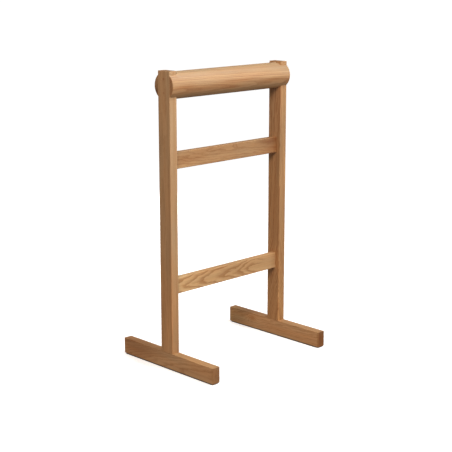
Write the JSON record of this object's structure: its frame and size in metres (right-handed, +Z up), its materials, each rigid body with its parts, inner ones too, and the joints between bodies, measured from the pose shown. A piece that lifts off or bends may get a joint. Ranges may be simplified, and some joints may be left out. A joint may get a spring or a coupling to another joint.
{
  "type": "saddle rack",
  "caption": "Free-standing oak saddle rack: a thick round saddle bar on upright posts with flat rails between them and long bar feet.",
  "frame": {"origin": "on the floor, under the middle of the rack", "axes": "+X along the saddle bar, +Y along the feet, +Z up"},
  "size_m": [0.496, 0.4, 0.9],
  "materials": {
    "oak_frame": "satin oiled oak, straight to gently arched grain along each piece",
    "oak_bar": "satin oiled oak, long streaked grain along the bar",
    "oak_rail": "satin oiled oak, paler, with arched figure",
    "oak_plug": "satin oiled oak",
    "beech_dowel": "plain fluted beech",
    "zinc_steel": "bright zinc plate",
    "brass_insert": "turned brass",
    "felt": "dense dark brown wool felt"
  },
  "bodies": {
    "root": {"left_foot": "oak_frame", "right_foot": "oak_frame", "left_post": "oak_frame", "right_post": "oak_frame", "saddle_bar": "oak_bar", "upper_rail": "oak_rail", "lower_rail": "oak_rail", "upper_left_dowels": "beech_dowel", "upper_right_dowels": "beech_dowel", "lower_left_dowels": "beech_dowel", "lower_right_dowels": "beech_dowel", "left_bar_screws": "zinc_steel", "right_bar_screws": "zinc_steel", "left_plugs": "oak_plug", "right_plugs": "oak_plug", "left_foot_bolts": "zinc_steel", "right_foot_bolts": "zinc_steel", "left_washers": "zinc_steel", "right_washers": "zinc_steel", "left_inserts": "brass_insert", "right_inserts": "brass_insert", "left_strip": "felt", "right_strip": "felt"}
  },
  "joints": []
}
